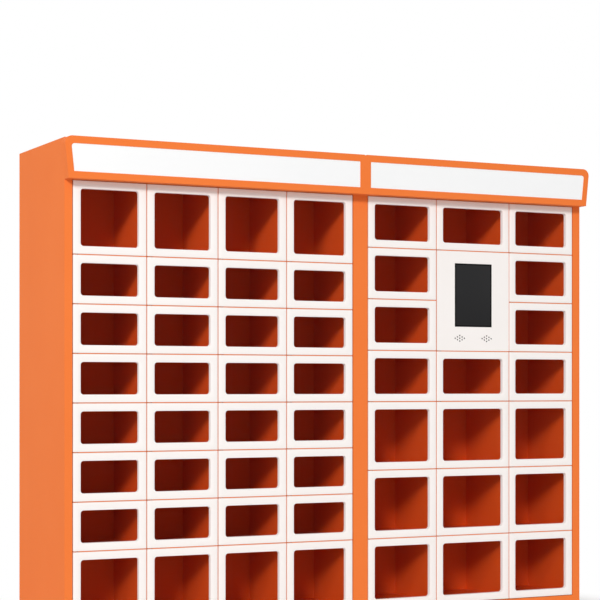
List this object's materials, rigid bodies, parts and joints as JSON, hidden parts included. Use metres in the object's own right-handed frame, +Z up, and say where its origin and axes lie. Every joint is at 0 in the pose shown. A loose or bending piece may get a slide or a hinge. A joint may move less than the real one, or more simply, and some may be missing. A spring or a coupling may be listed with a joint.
{
  "type": "smart food locker",
  "caption": "Two joined pickup cabinets of small windowed white doors on orange folded steel, with a header light box on each and a touch screen panel in the narrower cabinet.",
  "frame": {"origin": "on the floor, under the middle of the whole locker's box in X and Y", "axes": "+X to the right as a customer faces the doors, +Y to the back, +Z up; doors face -Y"},
  "size_m": [2.5392, 0.642, 2.08],
  "materials": {
    "orange_steel": "satin orange powder coat on folded steel sheet",
    "white_steel": "satin white powder coat on folded steel sheet",
    "clear_acrylic": "clear acrylic window pane",
    "sign_acrylic": "opal white acrylic",
    "zinc_lock": "zinc-plated steel",
    "electronics": "black housings",
    "screen_glass": "black glass-fronted display",
    "black_plastic": "moulded black plastic",
    "black_gasket": "black rubber gasket"
  },
  "bodies": {
    "locker_body": {"aux_cabinet": "orange_steel", "main_cabinet": "orange_steel", "header_housings": "orange_steel", "header_sign_panels": "sign_acrylic", "door_locks": "zinc_lock", "control_electronics": "electronics"},
    "control_panel_leaf": {"control_panel": "white_steel", "touch_screen": "screen_glass", "panel_speakers": "black_plastic"},
    "aux_leaf_r1c1": {"aux_door_r1c1": "white_steel"},
    "aux_leaf_r1c2": {"aux_door_r1c2": "white_steel"},
    "aux_leaf_r1c3": {"aux_door_r1c3": "white_steel"},
    "aux_leaf_r1c4": {"aux_door_r1c4": "white_steel"},
    "aux_leaf_r2c1": {"aux_door_r2c1": "white_steel"},
    "aux_leaf_r2c2": {"aux_door_r2c2": "white_steel"},
    "aux_leaf_r2c3": {"aux_door_r2c3": "white_steel"},
    "aux_leaf_r2c4": {"aux_door_r2c4": "white_steel"},
    "aux_leaf_r3c1": {"aux_door_r3c1": "white_steel"},
    "aux_leaf_r3c2": {"aux_door_r3c2": "white_steel"},
    "aux_leaf_r3c3": {"aux_door_r3c3": "white_steel"},
    "aux_leaf_r3c4": {"aux_door_r3c4": "white_steel"},
    "aux_leaf_r4c1": {"aux_door_r4c1": "white_steel"},
    "aux_leaf_r4c2": {"aux_door_r4c2": "white_steel"},
    "aux_leaf_r4c3": {"aux_door_r4c3": "white_steel"},
    "aux_leaf_r4c4": {"aux_door_r4c4": "white_steel"},
    "aux_leaf_r5c1": {"aux_door_r5c1": "white_steel"},
    "aux_leaf_r5c2": {"aux_door_r5c2": "white_steel"},
    "aux_leaf_r5c3": {"aux_door_r5c3": "white_steel"},
    "aux_leaf_r5c4": {"aux_door_r5c4": "white_steel"},
    "aux_leaf_r6c1": {"aux_door_r6c1": "white_steel"},
    "aux_leaf_r6c2": {"aux_door_r6c2": "white_steel"},
    "aux_leaf_r6c3": {"aux_door_r6c3": "white_steel"},
    "aux_leaf_r6c4": {"aux_door_r6c4": "white_steel"},
    "aux_leaf_r7c1": {"aux_door_r7c1": "white_steel"},
    "aux_leaf_r7c2": {"aux_door_r7c2": "white_steel"},
    "aux_leaf_r7c3": {"aux_door_r7c3": "white_steel"},
    "aux_leaf_r7c4": {"aux_door_r7c4": "white_steel"},
    "aux_leaf_r8c1": {"aux_door_r8c1": "white_steel"},
    "aux_leaf_r8c2": {"aux_door_r8c2": "white_steel"},
    "aux_leaf_r8c3": {"aux_door_r8c3": "white_steel"},
    "aux_leaf_r8c4": {"aux_door_r8c4": "white_steel"},
    "main_leaf_r1c1": {"main_door_r1c1": "white_steel"},
    "main_leaf_r1c2": {"main_door_r1c2": "white_steel"},
    "main_leaf_r1c3": {"main_door_r1c3": "white_steel"},
    "main_leaf_r2c1": {"main_door_r2c1": "white_steel"},
    "main_leaf_r2c3": {"main_door_r2c3": "white_steel"},
    "main_leaf_r3c1": {"main_door_r3c1": "white_steel"},
    "main_leaf_r3c3": {"main_door_r3c3": "white_steel"},
    "main_leaf_r4c1": {"main_door_r4c1": "white_steel"},
    "main_leaf_r4c2": {"main_door_r4c2": "white_steel"},
    "main_leaf_r4c3": {"main_door_r4c3": "white_steel"},
    "main_leaf_r5c1": {"main_door_r5c1": "white_steel"},
    "main_leaf_r5c2": {"main_door_r5c2": "white_steel"},
    "main_leaf_r5c3": {"main_door_r5c3": "white_steel"},
    "main_leaf_r6c1": {"main_door_r6c1": "white_steel"},
    "main_leaf_r6c2": {"main_door_r6c2": "white_steel"},
    "main_leaf_r6c3": {"main_door_r6c3": "white_steel"},
    "main_leaf_r7c1": {"main_door_r7c1": "white_steel"},
    "main_leaf_r7c2": {"main_door_r7c2": "white_steel"},
    "main_leaf_r7c3": {"main_door_r7c3": "white_steel"}
  },
  "joints": [
    {"name": "aux_hinge_r1c1", "type": "hinge", "parent": "locker_body", "child": "aux_leaf_r1c1", "pos_m": [-1.208, -0.263, 0], "axis": [0, 0, -1], "range_deg": [0, 105]},
    {"name": "aux_hinge_r1c2", "type": "hinge", "parent": "locker_body", "child": "aux_leaf_r1c2", "pos_m": [-0.888, -0.263, 0], "axis": [0, 0, -1], "range_deg": [0, 105]},
    {"name": "aux_hinge_r1c3", "type": "hinge", "parent": "locker_body", "child": "aux_leaf_r1c3", "pos_m": [-0.568, -0.263, 0], "axis": [0, 0, -1], "range_deg": [0, 105]},
    {"name": "aux_hinge_r1c4", "type": "hinge", "parent": "locker_body", "child": "aux_leaf_r1c4", "pos_m": [-0.248, -0.263, 0], "axis": [0, 0, -1], "range_deg": [0, 105]},
    {"name": "aux_hinge_r2c1", "type": "hinge", "parent": "locker_body", "child": "aux_leaf_r2c1", "pos_m": [-1.208, -0.263, 0], "axis": [0, 0, -1], "range_deg": [0, 105]},
    {"name": "aux_hinge_r2c2", "type": "hinge", "parent": "locker_body", "child": "aux_leaf_r2c2", "pos_m": [-0.888, -0.263, 0], "axis": [0, 0, -1], "range_deg": [0, 105]},
    {"name": "aux_hinge_r2c3", "type": "hinge", "parent": "locker_body", "child": "aux_leaf_r2c3", "pos_m": [-0.568, -0.263, 0], "axis": [0, 0, -1], "range_deg": [0, 105]},
    {"name": "aux_hinge_r2c4", "type": "hinge", "parent": "locker_body", "child": "aux_leaf_r2c4", "pos_m": [-0.248, -0.263, 0], "axis": [0, 0, -1], "range_deg": [0, 105]},
    {"name": "aux_hinge_r3c1", "type": "hinge", "parent": "locker_body", "child": "aux_leaf_r3c1", "pos_m": [-1.208, -0.263, 0], "axis": [0, 0, -1], "range_deg": [0, 105]},
    {"name": "aux_hinge_r3c2", "type": "hinge", "parent": "locker_body", "child": "aux_leaf_r3c2", "pos_m": [-0.888, -0.263, 0], "axis": [0, 0, -1], "range_deg": [0, 105]},
    {"name": "aux_hinge_r3c3", "type": "hinge", "parent": "locker_body", "child": "aux_leaf_r3c3", "pos_m": [-0.568, -0.263, 0], "axis": [0, 0, -1], "range_deg": [0, 105]},
    {"name": "aux_hinge_r3c4", "type": "hinge", "parent": "locker_body", "child": "aux_leaf_r3c4", "pos_m": [-0.248, -0.263, 0], "axis": [0, 0, -1], "range_deg": [0, 105]},
    {"name": "aux_hinge_r4c1", "type": "hinge", "parent": "locker_body", "child": "aux_leaf_r4c1", "pos_m": [-1.208, -0.263, 0], "axis": [0, 0, -1], "range_deg": [0, 105]},
    {"name": "aux_hinge_r4c2", "type": "hinge", "parent": "locker_body", "child": "aux_leaf_r4c2", "pos_m": [-0.888, -0.263, 0], "axis": [0, 0, -1], "range_deg": [0, 105]},
    {"name": "aux_hinge_r4c3", "type": "hinge", "parent": "locker_body", "child": "aux_leaf_r4c3", "pos_m": [-0.568, -0.263, 0], "axis": [0, 0, -1], "range_deg": [0, 105]},
    {"name": "aux_hinge_r4c4", "type": "hinge", "parent": "locker_body", "child": "aux_leaf_r4c4", "pos_m": [-0.248, -0.263, 0], "axis": [0, 0, -1], "range_deg": [0, 105]},
    {"name": "aux_hinge_r5c1", "type": "hinge", "parent": "locker_body", "child": "aux_leaf_r5c1", "pos_m": [-1.208, -0.263, 0], "axis": [0, 0, -1], "range_deg": [0, 105]},
    {"name": "aux_hinge_r5c2", "type": "hinge", "parent": "locker_body", "child": "aux_leaf_r5c2", "pos_m": [-0.888, -0.263, 0], "axis": [0, 0, -1], "range_deg": [0, 105]},
    {"name": "aux_hinge_r5c3", "type": "hinge", "parent": "locker_body", "child": "aux_leaf_r5c3", "pos_m": [-0.568, -0.263, 0], "axis": [0, 0, -1], "range_deg": [0, 105]},
    {"name": "aux_hinge_r5c4", "type": "hinge", "parent": "locker_body", "child": "aux_leaf_r5c4", "pos_m": [-0.248, -0.263, 0], "axis": [0, 0, -1], "range_deg": [0, 105]},
    {"name": "aux_hinge_r6c1", "type": "hinge", "parent": "locker_body", "child": "aux_leaf_r6c1", "pos_m": [-1.208, -0.263, 0], "axis": [0, 0, -1], "range_deg": [0, 105]},
    {"name": "aux_hinge_r6c2", "type": "hinge", "parent": "locker_body", "child": "aux_leaf_r6c2", "pos_m": [-0.888, -0.263, 0], "axis": [0, 0, -1], "range_deg": [0, 105]},
    {"name": "aux_hinge_r6c3", "type": "hinge", "parent": "locker_body", "child": "aux_leaf_r6c3", "pos_m": [-0.568, -0.263, 0], "axis": [0, 0, -1], "range_deg": [0, 105]},
    {"name": "aux_hinge_r6c4", "type": "hinge", "parent": "locker_body", "child": "aux_leaf_r6c4", "pos_m": [-0.248, -0.263, 0], "axis": [0, 0, -1], "range_deg": [0, 105]},
    {"name": "aux_hinge_r7c1", "type": "hinge", "parent": "locker_body", "child": "aux_leaf_r7c1", "pos_m": [-1.208, -0.263, 0], "axis": [0, 0, -1], "range_deg": [0, 105]},
    {"name": "aux_hinge_r7c2", "type": "hinge", "parent": "locker_body", "child": "aux_leaf_r7c2", "pos_m": [-0.888, -0.263, 0], "axis": [0, 0, -1], "range_deg": [0, 105]},
    {"name": "aux_hinge_r7c3", "type": "hinge", "parent": "locker_body", "child": "aux_leaf_r7c3", "pos_m": [-0.568, -0.263, 0], "axis": [0, 0, -1], "range_deg": [0, 105]},
    {"name": "aux_hinge_r7c4", "type": "hinge", "parent": "locker_body", "child": "aux_leaf_r7c4", "pos_m": [-0.248, -0.263, 0], "axis": [0, 0, -1], "range_deg": [0, 105]},
    {"name": "aux_hinge_r8c1", "type": "hinge", "parent": "locker_body", "child": "aux_leaf_r8c1", "pos_m": [-1.208, -0.263, 0], "axis": [0, 0, -1], "range_deg": [0, 105]},
    {"name": "aux_hinge_r8c2", "type": "hinge", "parent": "locker_body", "child": "aux_leaf_r8c2", "pos_m": [-0.888, -0.263, 0], "axis": [0, 0, -1], "range_deg": [0, 105]},
    {"name": "aux_hinge_r8c3", "type": "hinge", "parent": "locker_body", "child": "aux_leaf_r8c3", "pos_m": [-0.568, -0.263, 0], "axis": [0, 0, -1], "range_deg": [0, 105]},
    {"name": "aux_hinge_r8c4", "type": "hinge", "parent": "locker_body", "child": "aux_leaf_r8c4", "pos_m": [-0.248, -0.263, 0], "axis": [0, 0, -1], "range_deg": [0, 105]},
    {"name": "main_hinge_r1c1", "type": "hinge", "parent": "locker_body", "child": "main_leaf_r1c1", "pos_m": [0.147, -0.263, 0], "axis": [0, 0, -1], "range_deg": [0, 105]},
    {"name": "main_hinge_r1c2", "type": "hinge", "parent": "locker_body", "child": "main_leaf_r1c2", "pos_m": [0.495, -0.263, 0], "axis": [0, 0, -1], "range_deg": [0, 105]},
    {"name": "main_hinge_r1c3", "type": "hinge", "parent": "locker_body", "child": "main_leaf_r1c3", "pos_m": [0.879, -0.263, 0], "axis": [0, 0, -1], "range_deg": [0, 105]},
    {"name": "main_hinge_r2c1", "type": "hinge", "parent": "locker_body", "child": "main_leaf_r2c1", "pos_m": [0.147, -0.263, 0], "axis": [0, 0, -1], "range_deg": [0, 105]},
    {"name": "main_hinge_r2c3", "type": "hinge", "parent": "locker_body", "child": "main_leaf_r2c3", "pos_m": [0.879, -0.263, 0], "axis": [0, 0, -1], "range_deg": [0, 105]},
    {"name": "main_hinge_r3c1", "type": "hinge", "parent": "locker_body", "child": "main_leaf_r3c1", "pos_m": [0.147, -0.263, 0], "axis": [0, 0, -1], "range_deg": [0, 105]},
    {"name": "main_hinge_r3c3", "type": "hinge", "parent": "locker_body", "child": "main_leaf_r3c3", "pos_m": [0.879, -0.263, 0], "axis": [0, 0, -1], "range_deg": [0, 105]},
    {"name": "main_hinge_r4c1", "type": "hinge", "parent": "locker_body", "child": "main_leaf_r4c1", "pos_m": [0.147, -0.263, 0], "axis": [0, 0, -1], "range_deg": [0, 105]},
    {"name": "main_hinge_r4c2", "type": "hinge", "parent": "locker_body", "child": "main_leaf_r4c2", "pos_m": [0.495, -0.263, 0], "axis": [0, 0, -1], "range_deg": [0, 105]},
    {"name": "main_hinge_r4c3", "type": "hinge", "parent": "locker_body", "child": "main_leaf_r4c3", "pos_m": [0.879, -0.263, 0], "axis": [0, 0, -1], "range_deg": [0, 105]},
    {"name": "main_hinge_r5c1", "type": "hinge", "parent": "locker_body", "child": "main_leaf_r5c1", "pos_m": [0.147, -0.263, 0], "axis": [0, 0, -1], "range_deg": [0, 105]},
    {"name": "main_hinge_r5c2", "type": "hinge", "parent": "locker_body", "child": "main_leaf_r5c2", "pos_m": [0.495, -0.263, 0], "axis": [0, 0, -1], "range_deg": [0, 105]},
    {"name": "main_hinge_r5c3", "type": "hinge", "parent": "locker_body", "child": "main_leaf_r5c3", "pos_m": [0.879, -0.263, 0], "axis": [0, 0, -1], "range_deg": [0, 105]},
    {"name": "main_hinge_r6c1", "type": "hinge", "parent": "locker_body", "child": "main_leaf_r6c1", "pos_m": [0.147, -0.263, 0], "axis": [0, 0, -1], "range_deg": [0, 105]},
    {"name": "main_hinge_r6c2", "type": "hinge", "parent": "locker_body", "child": "main_leaf_r6c2", "pos_m": [0.495, -0.263, 0], "axis": [0, 0, -1], "range_deg": [0, 105]},
    {"name": "main_hinge_r6c3", "type": "hinge", "parent": "locker_body", "child": "main_leaf_r6c3", "pos_m": [0.879, -0.263, 0], "axis": [0, 0, -1], "range_deg": [0, 105]},
    {"name": "main_hinge_r7c1", "type": "hinge", "parent": "locker_body", "child": "main_leaf_r7c1", "pos_m": [0.147, -0.263, 0], "axis": [0, 0, -1], "range_deg": [0, 105]},
    {"name": "main_hinge_r7c2", "type": "hinge", "parent": "locker_body", "child": "main_leaf_r7c2", "pos_m": [0.495, -0.263, 0], "axis": [0, 0, -1], "range_deg": [0, 105]},
    {"name": "main_hinge_r7c3", "type": "hinge", "parent": "locker_body", "child": "main_leaf_r7c3", "pos_m": [0.879, -0.263, 0], "axis": [0, 0, -1], "range_deg": [0, 105]},
    {"name": "control_panel_hinge", "type": "hinge", "parent": "locker_body", "child": "control_panel_leaf", "pos_m": [0.495, -0.263, 0], "axis": [0, 0, -1], "range_deg": [0, 105]}
  ]
}
